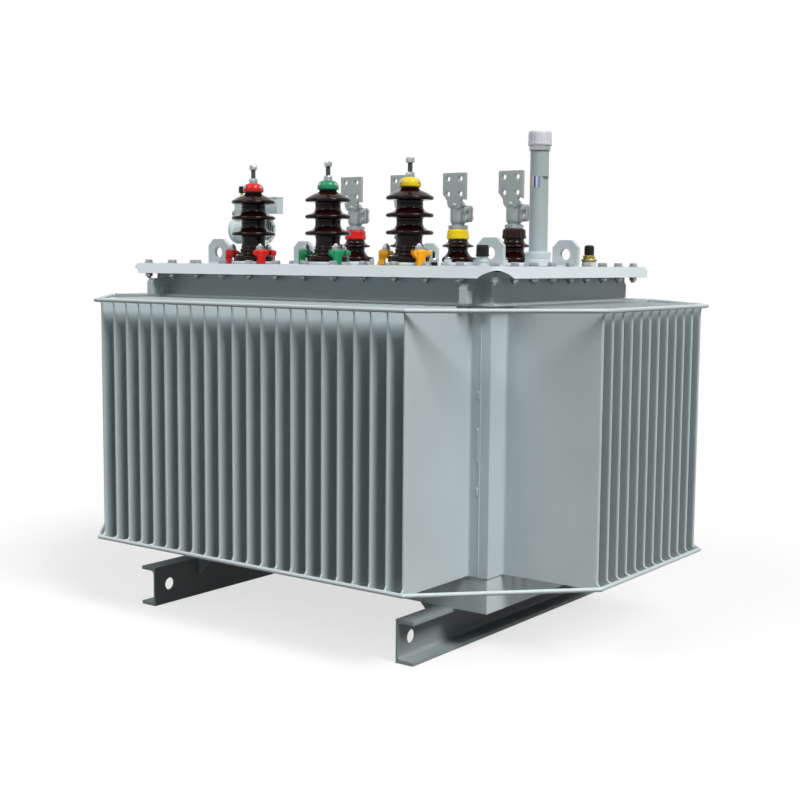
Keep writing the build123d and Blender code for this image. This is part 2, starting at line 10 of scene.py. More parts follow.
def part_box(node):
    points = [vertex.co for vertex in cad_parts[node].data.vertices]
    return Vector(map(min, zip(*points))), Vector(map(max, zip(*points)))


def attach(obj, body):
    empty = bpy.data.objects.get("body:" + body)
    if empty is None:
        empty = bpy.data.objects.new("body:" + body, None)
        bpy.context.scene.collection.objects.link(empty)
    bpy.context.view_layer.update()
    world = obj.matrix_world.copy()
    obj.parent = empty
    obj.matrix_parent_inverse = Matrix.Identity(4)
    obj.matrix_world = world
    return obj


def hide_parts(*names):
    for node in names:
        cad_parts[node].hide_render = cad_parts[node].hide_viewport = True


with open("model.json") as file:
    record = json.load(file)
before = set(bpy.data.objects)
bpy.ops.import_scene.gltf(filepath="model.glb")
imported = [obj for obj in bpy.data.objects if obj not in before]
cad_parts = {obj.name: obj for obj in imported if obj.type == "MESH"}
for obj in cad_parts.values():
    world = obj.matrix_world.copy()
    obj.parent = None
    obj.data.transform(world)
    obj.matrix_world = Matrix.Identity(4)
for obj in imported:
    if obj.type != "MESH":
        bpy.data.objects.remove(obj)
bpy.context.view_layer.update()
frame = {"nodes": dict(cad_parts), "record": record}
nodes = frame["nodes"]
MM = 0.001


def level(node, top=True):
    """The highest or lowest Z of a CAD node, in millimetres."""
    low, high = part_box(node)
    return (high.z if top else low.z) / MM


def middle(node):
    """The middle of a CAD node seen from above, in millimetres."""
    low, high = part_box(node)
    return (low.x + high.x) / 2 / MM, (low.y + high.y) / 2 / MM


# Levels and places taken from the frame
flange_sheet = 12
cover_top = level("cover")
flange_bottom = level("tank_top_frame") - flange_sheet
neck_bottom = level("wall_ledge")
wall_bottom = level("corrugated_wall_front", top=False)
wall_top = level("corrugated_wall_front")
half_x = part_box("corner_posts")[1].x / MM
half_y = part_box("corner_posts")[1].y / MM
phases = ("red", "green", "yellow")
hv_places = [middle(f"hv_cap_{phase}") for phase in phases]
lv_phases = phases + ("neutral",)
lv_places = [middle(f"lv_collar_{phase}") for phase in lv_phases]


# Shapes


def circle_points(radius, count, start=0.0, turn=360.0):
    """Points on a circle; an open arc includes both of its ends."""
    steps = count if turn == 360 else count - 1
    angles = [math.radians(start + turn * step / steps) for step in range(count)]
    return [(radius * math.cos(angle), radius * math.sin(angle)) for angle in angles]


def full_turn(steps):
    """The angles of a whole turn in equal steps, in radians."""
    return [2 * math.pi * step / steps for step in range(steps)]


def ring_faces(rings, sides):
    """The faces between rings of points that follow one another, and the face at each end."""
    faces = []
    for ring in range(rings - 1):
        for step in range(sides):
            after = (step + 1) % sides
            low, high = ring * sides, (ring + 1) * sides
            faces.append((low + step, low + after, high + after, high + step))
    faces.append(tuple(reversed(range(sides))))
    top = (rings - 1) * sides
    faces.append(tuple(range(top, top + sides)))
    return faces


def rounded(corners, radius, steps=4):
    """A closed outline with rounded corners; a corner may carry its own radius as a third number."""
    points = []
    count = len(corners)
    for index, corner in enumerate(corners):
        here = Vector(corner[:2])
        before = Vector(corners[index - 1][:2]) - here
        after = Vector(corners[(index + 1) % count][:2]) - here
        size = corner[2] if len(corner) > 2 else radius
        if size <= 0:
            points.append((here.x, here.y))
            continue
        half = before.angle(after) / 2
        reach = min(size / math.tan(half), before.length * 0.48, after.length * 0.48)
        start = here + before.normalized() * reach
        end = here + after.normalized() * reach
        for step in range(steps + 1):
            t = step / steps
            point = start.lerp(here, t).lerp(here.lerp(end, t), t)
            points.append((point.x, point.y))
    return points


def smooth_outline(outline, steps=4):
    """A smooth curve through the points of an outline; a third number of 0 keeps a corner sharp."""
    points = []
    count = len(outline)
    for index in range(count - 1):
        here, after = outline[index], outline[index + 1]
        before = outline[max(index - 1, 0)]
        beyond = outline[min(index + 2, count - 1)]
        p1, p2 = Vector(here[:2]), Vector(after[:2])
        sharp_here = len(here) > 2
        sharp_after = len(after) > 2
        m1 = (p2 - p1) if sharp_here else (p2 - Vector(before[:2])) / 2
        m2 = (p2 - p1) if sharp_after else (Vector(beyond[:2]) - p1) / 2
        limit = (p2 - p1).length
        m1 = m1.normalized() * min(m1.length, limit) if m1.length else m1
        m2 = m2.normalized() * min(m2.length, limit) if m2.length else m2
        for step in range(steps):
            t = step / steps
            a = 2 * t**3 - 3 * t**2 + 1
            b = t**3 - 2 * t**2 + t
            c = -2 * t**3 + 3 * t**2
            d = t**3 - t**2
            point = p1 * a + m1 * b + p2 * c + m2 * d
            points.append((max(point.x, 0), point.y))
    points.append(tuple(outline[-1][:2]))
    return points


def at(x=0, y=0, z=0, turn=0.0):
    """A place in millimetres, turned about Z by degrees."""
    return Matrix.Translation((x, y, z)) @ Matrix.Rotation(math.radians(turn), 4, "Z")


def facing(x, y, z, forward, up=(0, 0, 1)):
    """A place whose local Z points along forward and whose local Y is as near up as it can be."""
    forward = Vector(forward).normalized()
    right = Vector(up).cross(forward).normalized()
    turn = Matrix((right, forward.cross(right), forward)).transposed().to_4x4()
    return Matrix.Translation((x, y, z)) @ turn


class Shape:
    """The points and faces of one piece, in millimetres."""

    def __init__(self):
        self.points = []
        self.faces = []

    def add(self, points, faces, place=Matrix.Identity(4)):
        start = len(self.points)
        self.points += [place @ Vector(point) for point in points]
        self.faces += [[start + index for index in face] for face in faces]
        return self

    def lathe(self, outline, place, sides=48, scallop=0.0, lobes=0):
        """Turn a radius and height outline about Z; a scallop makes the rim wavy."""
        points = []
        for radius, height in outline:
            for angle in full_turn(sides):
                wave = 1 + scallop * math.cos(lobes * angle) if lobes else 1
                points.append((radius * wave * math.cos(angle), radius * wave * math.sin(angle), height))
        return self.add(points, ring_faces(len(outline), sides), place)

    def turned(self, outline, place, **options):
        """Turn an outline that is smoothed first."""
        return self.lathe(smooth_outline(outline), place, **options)

    def washer(self, radius, thickness, place, sides=24):
        """A plain round disc."""
        return self.lathe([(0, 0), (radius, 0), (radius, thickness), (0, thickness)], place, sides=sides)

    def prism(self, outline, height, place, edge=0.0):
        """Raise a closed outline along Z, with a small chamfer on both rims."""
        count = len(outline)
        sums = (sum(p[0] for p in outline), sum(p[1] for p in outline))
        middle_point = Vector((sums[0] / count, sums[1] / count))
        size = max((Vector(p) - middle_point).length for p in outline)
        shrink = (size - edge) / size
        inner = [middle_point + (Vector(p) - middle_point) * shrink for p in outline]
        rings = [(outline, 0), (outline, height)]
        if edge:
            rings = [(inner, 0), (outline, edge), (outline, height - edge), (inner, height)]
        points = [(p[0], p[1], z) for ring, z in rings for p in ring]
        return self.add(points, ring_faces(len(rings), count), place)

    def plate(self, outline, holes, thickness, place, edge=0.5):
        """A flat plate with holes and softly rounded rims, its middle plane on local Z 0."""
        curve = bpy.data.curves.new("plate_curve", "CURVE")
        curve.dimensions = "2D"
        curve.fill_mode = "BOTH"
        curve.extrude = thickness / 2 - edge
        curve.bevel_depth = edge
        curve.bevel_resolution = 2
        curve.offset = -edge
        for loop in [outline] + holes:
            spline = curve.splines.new("POLY")
            spline.points.add(len(loop) - 1)
            for point, (x, y) in zip(spline.points, loop):
                point.co = (x, y, 0, 1)
            spline.use_cyclic_u = True
        holder = bpy.data.objects.new("plate_holder", curve)
        bpy.context.scene.collection.objects.link(holder)
        graph = bpy.context.evaluated_depsgraph_get()
        mesh = bpy.data.meshes.new_from_object(holder.evaluated_get(graph))
        self.add([v.co for v in mesh.vertices], [list(f.vertices) for f in mesh.polygons], place)
        bpy.data.objects.remove(holder)
        bpy.data.curves.remove(curve)
        bpy.data.meshes.remove(mesh)
        return self

    def hexagon(self, flats, height, place, bore=0.0):
        """A hexagon nut or bolt head with its corners turned off."""
        widest = flats / math.sqrt(3) * 0.995
        sides = 24
        angles = full_turn(sides)
        rings = []
        for z, trim in (
            (0, flats * 0.475),
            (height * 0.12, widest),
            (height * 0.85, widest),
            (height, flats * 0.455),
        ):
            ring = []
            for angle in angles:
                wedge = (angle + math.pi / 6) % (math.pi / 3) - math.pi / 6
                radius = min(flats / 2 / math.cos(wedge), trim)
                ring.append((radius * math.cos(angle), radius * math.sin(angle), z))
            rings.append(ring)
        if bore:
            rings.append([(bore * math.cos(angle), bore * math.sin(angle), height) for angle in angles])
        points = [point for ring in rings for point in ring]
        return self.add(points, ring_faces(len(rings), sides), place)

    def thread(self, radius, pitch, length, place, depth=0.6):
        """A threaded rod, drawn as close grooves."""
        turns = max(int(length / pitch), 1)
        step = length / turns
        outline = []
        for turn in range(turns):
            base = turn * step
            outline.append((radius - depth, base))
            outline.append((radius, base + step * 0.35))
            outline.append((radius, base + step * 0.65))
        outline.append((radius - depth, length))
        return self.lathe(outline, place, sides=20)

    def bead(self, start, end, radius, seed=0, ripple=6.0, flat=0.55, outward=(0, 0, 1)):
        """A weld bead: a low, rippled ridge between two points."""
        start, end = Vector(start), Vector(end)
        along = end - start
        length = along.length
        along.normalize()
        out = Vector(outward)
        out = (out - along * out.dot(along)).normalized()
        side = along.cross(out)
        steps = max(int(length / (ripple / 3)), 4)
        sides = 7
        points = []
        for step in range(steps + 1):
            t = step / steps
            taper = min(1.0, 3.2 * math.sqrt(max(min(t, 1 - t), 0.0) * length / (ripple * 4)) + 0.25)
            rough = noise.noise(Vector((step * 0.31, seed * 1.7, 0)))
            size = radius * taper * (1 + 0.10 * math.sin(step * 2 * math.pi / 3) + 0.22 * rough)
            sway = side * radius * 0.25 * noise.noise(Vector((step * 0.13, seed, 5)))
            for index in range(sides):
                angle = math.pi * index / (sides - 1)
                offset = side * size * math.cos(angle) + out * size * flat * math.sin(angle)
                points.append(start + along * (t * length) + offset + sway)
        faces = []
        for step in range(steps):
            for index in range(sides - 1):
                low, high = step * sides, (step + 1) * sides
                faces.append((low + index, high + index, high + index + 1, low + index + 1))
        faces.append(tuple(range(sides)))
        faces.append(tuple(reversed(range(steps * sides, steps * sides + sides))))
        return self.add(points, faces)

    def blob(self, centre, size, seed=0):
        """A small lump of weld metal."""
        rings, sides = 5, 9
        points = [(0, 0, size[2])]
        for ring in range(1, rings):
            tilt = math.pi * ring / rings
            for step in range(sides):
                angle = 2 * math.pi * step / sides
                bump = 1 + 0.2 * noise.noise(Vector((ring * 1.3, step * 0.9, seed * 2.1)))
                points.append(
                    (
                        size[0] * bump * math.sin(tilt) * math.cos(angle),
                        size[1] * bump * math.sin(tilt) * math.sin(angle),
                        size[2] * bump * math.cos(tilt),
                    )
                )
        points.append((0, 0, -size[2]))
        last = len(points) - 1
        faces = []
        for step in range(sides):
            after = (step + 1) % sides
            faces.append((0, 1 + step, 1 + after))
            for ring in range(rings - 2):
                low, high = 1 + ring * sides, 1 + (ring + 1) * sides
                faces.append((low + step, high + step, high + after, low + after))
            low = 1 + (rings - 2) * sides
            faces.append((low + step, last, low + after))
        return self.add(points, faces, Matrix.Translation(centre))

    def piece(self, name, look, slot=None, replaces=(), crease=38):
        """Make the Blender object, on the CAD root body."""
        mesh = bpy.data.meshes.new(name)
        mesh.from_pydata([point * MM for point in self.points], [], self.faces)
        mesh.validate()
        for polygon in mesh.polygons:
            polygon.use_smooth = True
        mesh.set_sharp_from_angle(angle=math.radians(crease))
        mesh.materials.append(look)
        made = bpy.data.objects.new(name, mesh)
        bpy.context.scene.collection.objects.link(made)
        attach(made, "root")
        if replaces:
            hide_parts(*replaces)


# Materials


def srgb(red, green, blue):
    """A linear colour from the 0 to 255 values that a screen shows."""
    values = []
    for value in (red, green, blue):
        part = value / 255
        values.append(part / 12.92 if part <= 0.04045 else ((part + 0.055) / 1.055) ** 2.4)
    return (*values, 1.0)


def finish_look(
    name, colour, roughness, metallic=0.0, mottle=0.06, mottle_size=6.0, grain=0.0, edge=0.0, specular=0.5
):
    """A procedural finish: a colour that drifts a little, a fine surface grain and softened edges."""
    look = bpy.data.materials.new(name)
    look.use_nodes = True
    tree = look.node_tree
    shader = tree.nodes["Principled BSDF"]
    shader.inputs["Roughness"].default_value = roughness
    shader.inputs["Metallic"].default_value = metallic
    shader.inputs["Specular IOR Level"].default_value = specular
    place = tree.nodes.new("ShaderNodeTexCoord")
    drift = tree.nodes.new("ShaderNodeTexNoise")
    drift.inputs["Scale"].default_value = mottle_size
    drift.inputs["Detail"].default_value = 5
    tree.links.new(place.outputs["Object"], drift.inputs["Vector"])
    ramp = tree.nodes.new("ShaderNodeValToRGB")
    ramp.color_ramp.elements[0].position = 0.3
    ramp.color_ramp.elements[1].position = 0.7
    darker = [part * (1 - mottle) for part in colour[:3]]
    lighter = [min(part * (1 + mottle), 1.0) for part in colour[:3]]
    ramp.color_ramp.elements[0].color = (*darker, 1.0)
    ramp.color_ramp.elements[1].color = (*lighter, 1.0)
    tree.links.new(drift.outputs["Fac"], ramp.inputs["Fac"])
    tree.links.new(ramp.outputs["Color"], shader.inputs["Base Color"])
    normal = None
    if edge:
        bevel = tree.nodes.new("ShaderNodeBevel")
        bevel.samples = 4
        bevel.inputs["Radius"].default_value = edge * MM
        normal = bevel.outputs["Normal"]
    if grain:
        fine = tree.nodes.new("ShaderNodeTexNoise")
        fine.inputs["Scale"].default_value = 350.0
        fine.inputs["Detail"].default_value = 3
        tree.links.new(place.outputs["Object"], fine.inputs["Vector"])
        bump = tree.nodes.new("ShaderNodeBump")
        bump.inputs["Strength"].default_value = grain
        bump.inputs["Distance"].default_value = 0.0004
        tree.links.new(fine.outputs["Fac"], bump.inputs["Height"])
        if normal:
            tree.links.new(normal, bump.inputs["Normal"])
        normal = bump.outputs["Normal"]
    if normal:
        tree.links.new(normal, shader.inputs["Normal"])
    return look


tank_paint = finish_look(
    "tank_paint", srgb(198, 210, 211), 0.33, mottle=0.03, grain=0.12, edge=1.2, specular=0.3
)
# Skid enamel: the tank's grey made darker, which paints the shade under the tank into the skids' colour.
skid_paint = finish_look(
    "skid_paint", srgb(144, 154, 154), 0.45, mottle=0.05, grain=0.2, edge=1.0, specular=0.2
)
cover_paint = finish_look(
    "cover_paint", srgb(198, 208, 210), 0.34, mottle=0.03, grain=0.1, edge=1.2, specular=0.35
)
tube_paint = finish_look("tube_paint", srgb(178, 190, 191), 0.36, mottle=0.03, grain=0.1, specular=0.3)
gasket_rubber = finish_look("gasket_rubber", srgb(30, 32, 32), 0.7, mottle=0.1)
porcelain = finish_look(
    "porcelain", (0.012, 0.0025, 0.002, 1), 0.05, mottle=0.35, mottle_size=14, specular=0.16
)
enamel = {"specular": 0.35, "mottle_size": 40}
cap_red = finish_look("cap_red", srgb(208, 24, 20), 0.28, mottle=0.08, **enamel)
cap_green = finish_look("cap_green", srgb(20, 140, 92), 0.28, mottle=0.08, **enamel)
cap_yellow = finish_look("cap_yellow", srgb(240, 208, 24), 0.28, mottle=0.06, **enamel)
clamp_yellow = finish_look("clamp_yellow", srgb(246, 168, 16), 0.28, mottle=0.08, **enamel)
collar_brown = finish_look("collar_brown", (0.018, 0.005, 0.004, 1), 0.15, mottle=0.2, specular=0.2)
tinned_metal = finish_look("tinned_metal", srgb(158, 165, 165), 0.42, metallic=0.45, grain=0.25, edge=0.8)
zinc_steel = finish_look(
    "zinc_steel", srgb(168, 172, 173), 0.32, metallic=0.8, mottle=0.12, mottle_size=60, grain=0.1
)
dark_steel = finish_look("dark_steel", srgb(84, 90, 90), 0.4, metallic=0.6, mottle=0.15, mottle_size=60)
cap_white = finish_look("cap_white", srgb(226, 226, 234), 0.4, mottle=0.03, grain=0.1)
knob_black = finish_look("knob_black", srgb(20, 20, 22), 0.3, mottle=0.1, specular=0.2)
relay_glass = finish_look("relay_glass", srgb(12, 40, 30), 0.05, mottle=0.3, specular=0.3)
brass = finish_look("brass", srgb(170, 150, 84), 0.3, metallic=0.9, mottle=0.1, mottle_size=60)
band_gold = finish_look("band_gold", srgb(196, 176, 120), 0.4, mottle=0.03)
band_pale = finish_look("band_pale", srgb(222, 226, 230), 0.4, mottle=0.03)
band_blue = finish_look("band_blue", srgb(92, 120, 190), 0.35, mottle=0.05)
band_dark = finish_look("band_dark", srgb(52, 74, 140), 0.35, mottle=0.05)

node_looks = {
    "tank_paint": tank_paint,
    "skid_paint": skid_paint,
    "cover_paint": cover_paint,
    "gasket_rubber": gasket_rubber,
    "porcelain": porcelain,
    "cap_red": cap_red,
    "cap_green": cap_green,
    "cap_yellow": cap_yellow,
    "clamp_yellow": clamp_yellow,
    "collar_brown": collar_brown,
    "tinned_metal": tinned_metal,
    "zinc_steel": zinc_steel,
    "cap_white": cap_white,
    "knob_black": knob_black,
    "relay_glass": relay_glass,
    "brass": brass,
}
for part in frame["record"]["subparts"]:
    node = nodes[part["node"]]
    node.data.materials.clear()
    node.data.materials.append(node_looks[part["material_slot"]])
nodes["gauge_tube"].data.materials[0] = tube_paint


# Corrugated walls: folded fins with a rounded nose that is pinched and flared only at its two ends.
# A section is half widths and distances out from the wall, or back from the fin's tip where negative.
fin_pitch = 45
fin_depth = 242
fin_flare = 6
fin_tip = fin_depth + fin_flare
long_count = 22
short_count = 12
wall_sheet = 4
fin_root = [(9, 0), (6, 0.9), (4.5, 3), (4, 7), (4, 12), (4, -24), (4, -18)]
open_nose = fin_root + [(4, -11), (4, -4.5), (3.7, -2.4), (2.6, -0.8), (1, -0.1)]
flat_nose = fin_root + [(3.2, -11), (1.9, -5.5), (1.6, -2.6), (1.5, -0.8), (0.8, -0.1)]
# How far the nose is pinched at heights above the fin's lower end
end_pinch = [(0, 1.0), (7, 1.0), (9, 0.8), (11, 0.5), (13, 0.2), (15, 0.0), (19, 0.0)]


def fin_section(pinch):
    """The outline of one fin across its width: pinch 0 leaves a rounded nose, 1 draws it to a thin edge."""
    reach = fin_depth + fin_flare * pinch
    half = []
    for (wide, out), (thin, inner) in zip(open_nose, flat_nose):
        width = wide + (thin - wide) * pinch
        place = out + (inner - out) * pinch
        half.append((width, place if place >= 0 else reach + place))
    return [(-width, out) for width, out in half] + [(width, out) for width, out in reversed(half)]


for name, turn in (("front", 180), ("back", 0), ("left", 90), ("right", -90)):
    low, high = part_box(f"corrugated_wall_{name}")
    long_wall = name in ("front", "back")
    wall_half = (high.x - low.x if long_wall else high.y - low.y) / 2 / MM
    face = half_y if long_wall else half_x
    height = wall_top - wall_bottom
    stations = end_pinch + [(height / 2, 0.0)]
    stations += [(height - level_up, pinch) for level_up, pinch in reversed(end_pinch)]
    back = face - wall_sheet
    sheet = [(-wall_half, back), (wall_half, back), (wall_half, face), (-wall_half, face)]
    wall = Shape().prism(sheet, height, at(0, 0, wall_bottom, turn))
    count = long_count if long_wall else short_count
    for index in range(count):
        middle_line = (index - (count - 1) / 2) * fin_pitch
        points = []
        for up_wall, pinch in stations:
            points += [(middle_line + across, face + out, up_wall) for across, out in fin_section(pinch)]
        width = len(points) // len(stations)
        faces = []
        for station in range(len(stations) - 1):
            for step in range(width - 1):
                lower, upper = station * width, (station + 1) * width
                faces.append((lower + step, upper + step, upper + step + 1, lower + step + 1))
        faces.append(tuple(range(width)))
        faces.append(tuple(reversed(range(len(points) - width, len(points)))))
        wall.add(points, faces, at(0, 0, wall_bottom, turn))
    wall.piece(f"fins_{name}", tank_paint, "tank_paint", [f"corrugated_wall_{name}"], crease=50)

# Cover: the flared skirt runs round rounded corners and is cut away in an arch under each of them
skirt_out = 22
cover_sheet = 8
skirt_sheet = 5.5
corner_radius = 17
corner_steps = 18
arch_half = 40
arch_step = 4
arch_end = 44
skirt_drop = 26
edge_x = half_x + 40
edge_y = half_y + 42
rim = []
for corner_x, corner_y, start in ((1, 1, 0), (-1, 1, 90), (-1, -1, 180), (1, -1, 270)):
    centre = Vector((corner_x * (edge_x - corner_radius), corner_y * (edge_y - corner_radius)))
    for step in range(corner_steps + 1):
        angle = math.radians(start + 90 * step / corner_steps)
        rim.append((centre, Vector((math.cos(angle), math.sin(angle)))))
steps_between = []
for index, (centre, out) in enumerate(rim):
    steps_between.append((centre + out * corner_radius, out))
    next_centre, next_out = rim[(index + 1) % len(rim)]
    if (next_centre - centre).length > 1:
        begin = centre + out * corner_radius
        end = next_centre + next_out * corner_radius
        length = (end - begin).length
        for near in range(arch_step, arch_end + 1, arch_step):
            steps_between.append((begin + (end - begin) * near / length, out))
        for near in range(arch_end, 0, -arch_step):
            steps_between.append((end - (end - begin) * near / length, out))
top_ring, foot_ring, inner_foot_ring, inner_top_ring = [], [], [], []
for point, out in steps_between:
    corner = Vector((math.copysign(edge_x, point.x), math.copysign(edge_y, point.y)))
    tangent = Vector((-math.copysign(1, point.y), math.copysign(1, point.x))).normalized()
    foot_point = point + out * skirt_out
    aside = abs((foot_point - corner).dot(tangent)) / arch_half
    lift = (skirt_drop - cover_sheet - 1) * math.sqrt(max(1 - aside**2, 0.0))
    drop = skirt_drop - lift
    inner_foot = skirt_out * drop / skirt_drop - skirt_sheet
    inner_top = skirt_out * cover_sheet / skirt_drop - skirt_sheet
    top_ring.append((*point, cover_top))
    foot_ring.append((*(point + out * skirt_out * drop / skirt_drop), cover_top - drop))
    inner_foot_ring.append((*(point + out * inner_foot), cover_top - drop))
    inner_top_ring.append((*(point + out * inner_top), cover_top - cover_sheet))
cover_points = top_ring + foot_ring + inner_foot_ring + inner_top_ring
count = len(steps_between)
cover_faces = [tuple(range(count)), tuple(reversed(range(3 * count, 4 * count)))]
for ring in range(3):
    for step in range(count):
        after = (step + 1) % count
        high, low = ring * count, (ring + 1) * count
        cover_faces.append((high + step, low + step, low + after, high + after))
Shape().add(cover_points, cover_faces).piece("cover_plate", cover_paint, "cover_paint", ["cover"], crease=25)

# High-voltage bushings: ribbed base, core, two drip sheds and the domed top shed
shed_tip = 56.5
core = 31


def shed_edge(underside):
    """The underside and rim of one shed, from the core outwards."""
    return [
        (core + 1.5, underside - 1.5),
        (core + 6, underside),
        (shed_tip - 8, underside - 0.5),
        (shed_tip - 2.5, underside + 0.6),
        (shed_tip, underside + 4.6),
        (shed_tip - 1.8, underside + 8.4),
    ]


hv_profile = [(0, 7, 0), (49, 7, 0), (50.5, 9), (50.5, 19), (48, 22, 0), (40, 22.6, 0), (36.5, 25), (35.5, 29)]
hv_profile += [(33, 31), (34.2, 34), (33.5, 38), (31.5, 40), (32, 43), (core, 46), (core - 1, 58), (core, 67)]
for underside in (72, 112.5):
    hv_profile += shed_edge(underside) + [
        (shed_tip - 7, underside + 10.4),
        (core + 12, underside + 12.6),
        (core + 5, underside + 16),
        (core + 1.5, underside + 21.5),
        (core, underside + 28),
        (core + 0.8, underside + 31),
        (core, underside + 34),
    ]
hv_profile += shed_edge(153) + [(shed_tip - 7, 164.6), (43, 168.6), (35, 172.4), (27.5, 175.6), (23, 178)]
hv_profile += [(21, 180.5), (20.5, 184, 0), (0, 184, 0)]
hv_curve = smooth_outline(hv_profile)
shape = Shape()
for x, y in hv_places:
    shape.lathe(hv_curve, at(x, y, cover_top), sides=80)
shape.piece("hv_porcelain", porcelain, "porcelain", ["hv_bushings"], crease=50)

shape = Shape()
for x, y in hv_places:
    shape.turned(
        [(0, 0, 0), (56, 0, 0), (57, 1), (57, 5.5), (55.5, 7, 0), (0, 7, 0)], at(x, y, cover_top), sides=72
    )
shape.piece("hv_seat_rings", cover_paint, "cover_paint", ["hv_seats"])

# Black ring under each cap, then the domed cap with its two screws
shape = Shape()
for x, y in hv_places:
    shape.lathe([(0, 180), (21, 180), (22, 181), (22, 184), (0, 184.5)], at(x, y, cover_top))
shape.piece("hv_cap_rings", gasket_rubber, "gasket_rubber")
cap_looks = {"red": cap_red, "green": cap_green, "yellow": cap_yellow}
cap_side = [(0, 183.5, 0), (25.6, 183.5, 0), (26.4, 185), (26.4, 190), (25.2, 196)]
cap_dome = [(21.5, 201.2), (16, 204.6), (11, 205.8, 0), (0, 206, 0)]
cap_curve = smooth_outline(cap_side + cap_dome)
cap_screws = Shape()
for phase, (x, y) in zip(phases, hv_places):
    shape = Shape().lathe(cap_curve, at(x, y, cover_top), sides=56)
    shape.piece(f"hv_cap_shell_{phase}", cap_looks[phase], f"cap_{phase}", [f"hv_cap_{phase}"])
    for turn in (-108, 2):
        angle = math.radians(turn)
        out = Vector((math.cos(angle), math.sin(angle), 0.55))
        seat = Vector((x, y, cover_top + 194)) + Vector((math.cos(angle), math.sin(angle), 0)) * 23.5
        cap_screws.lathe([(0, -3), (5, -3), (5, 2.2), (4, 3.2), (0, 3.4)], facing(*seat, out), sides=20)
cap_screws.piece("hv_cap_screws", zinc_steel, "zinc_steel")

# High-voltage studs with a nut on the cap and a nut at the top
stud_nuts = Shape()
stud_rods = Shape()
for index, (x, y) in enumerate(hv_places):
    stud_nuts.lathe([(0, 206), (11.5, 206), (11.5, 208), (0, 208)], at(x, y, cover_top), sides=28)
    stud_nuts.hexagon(19, 9.5, at(x, y, cover_top + 208, 12 + 20 * index))
    stud_nuts.hexagon(18, 12, at(x, y, cover_top + 239.5, 30 + 17 * index), bore=6)
    stud_rods.thread(5.9, 1.75, 35, at(x, y, cover_top + 217))
stud_nuts.piece("hv_nuts", zinc_steel, "zinc_steel", ["hv_terminal_studs"])
stud_rods.piece("hv_stud_threads", dark_steel, "zinc_steel")

# Cast claws: an arm over the base flange on a rounded column, with a nut on top
claw_looks = {
    "red": (cap_red, "cap_red"),
    "green": (cap_green, "cap_green"),
    "yellow": (clamp_yellow, "clamp_yellow"),
}
claw_circle = 57.2
claw_inner = [(-20, 28, 2), (-18, 24, 1), (-4, 23.2, 1), (0.2, 19, 2), (0.2, 0, 0.5)]
claw_outer = [(15, 0, 1), (15, 33, 3), (11, 37.4, 2), (-6, 37, 2), (-18, 33, 2)]
claw_side = rounded(claw_inner + claw_outer, 2)
wing_half = [(-9, -8, 1), (9, -8, 1), (18.5, 1, 2)]
claw_wing = rounded(wing_half + [(18.5, 11, 3), (-18.5, 11, 3), (-18.5, 1, 2)], 2)
claw_nuts = Shape()
for phase, (x, y) in zip(phases, hv_places):
    shape = Shape()
    for turn in (90, 210, 330):
        out = Vector((math.cos(math.radians(turn)), math.sin(math.radians(turn)), 0))
        foot = Vector((x, y, cover_top)) + out * claw_circle
        across = out.cross(Vector((0, 0, 1)))
        shape.plate(claw_side, [], 20, facing(*foot, across), edge=2)
        wing_place = facing(*(foot + out * 1 + Vector((0, 0, 24))), out)
        shape.plate(claw_wing, [], 20, wing_place, edge=2)
        top = foot - out * 2 + Vector((0, 0, 36.5))
        claw_nuts.washer(11, 2, at(*top))
        claw_nuts.hexagon(17, 8, at(*(top + Vector((0, 0, 2))), turn + 8), bore=5.5)
        claw_nuts.lathe([(0, 9), (5.4, 9), (5.2, 12), (4, 14.4), (0, 15)], at(*top), sides=20)
    look, slot = claw_looks[phase]
    shape.piece(f"hv_claws_{phase}", look, slot, [f"hv_clamps_{phase}"])
claw_nuts.piece("hv_claw_nuts", zinc_steel, "zinc_steel")

# Low-voltage bushings: a bell, a waist and one small shed
lv_base = [(0, 9, 0), (41, 9, 0), (43, 11), (43, 17), (41, 21), (35, 26), (30, 32), (27, 38), (26.5, 43)]
lv_shed = [(29, 46.5), (37, 48.5), (41.5, 49.8), (42.6, 52), (41, 54.4), (34, 57.5), (29, 61), (26.5, 66)]
lv_curve = smooth_outline(lv_base + lv_shed + [(26.5, 71, 0), (0, 71, 0)])
shape = Shape()
for x, y in lv_places:
    shape.lathe(lv_curve, at(x, y, cover_top), sides=64)
shape.piece("lv_porcelain", porcelain, "porcelain", ["lv_bushings"], crease=50)

# Seat rings with their three clamp blocks and screws
lv_rings = Shape()
lv_screws = Shape()
for x, y in lv_places:
    lv_rings.lathe([(0, 0), (46, 0), (46, 6), (44.5, 8), (0, 9)], at(x, y, cover_top), sides=56)
    for turn in (30, 150, 270):
        angle = math.radians(turn)
        seat = Vector((x + 46 * math.cos(angle), y + 46 * math.sin(angle), cover_top))
        lv_rings.prism(rounded([(-8, -9), (8, -9), (8, 9), (-8, 9)], 3), 16, at(*seat, turn), edge=1.5)
        lv_screws.hexagon(13, 6, at(*(seat + Vector((0, 0, 16))), turn), bore=4)
lv_rings.piece("lv_seat_rings", cover_paint, "tank_paint", ["lv_seats"])
lv_screws.piece("lv_seat_screws", zinc_steel, "zinc_steel")

# Collars: rounded for the phases, deeply scalloped for the neutral
collar_foot = [(0, 70, 0), (27, 70, 0), (29.5, 71.5), (30, 75), (29, 83)]
collar_curve = smooth_outline(collar_foot + [(28.6, 90), (27.6, 94.5), (25, 96, 0), (0, 96, 0)])
for phase, (x, y) in zip(lv_phases, lv_places):
    look = cap_looks.get(phase, collar_brown)
    slot = f"cap_{phase}" if phase in cap_looks else "collar_brown"
    lobes = 14 if phase == "neutral" else 28
    depth = 0.045 if phase == "neutral" else 0.012
    shape = Shape().lathe(collar_curve, at(x, y, cover_top), sides=lobes * 6, scallop=depth, lobes=lobes)
    shape.piece(f"lv_collar_shell_{phase}", look, slot, [f"lv_collar_{phase}"], crease=60)

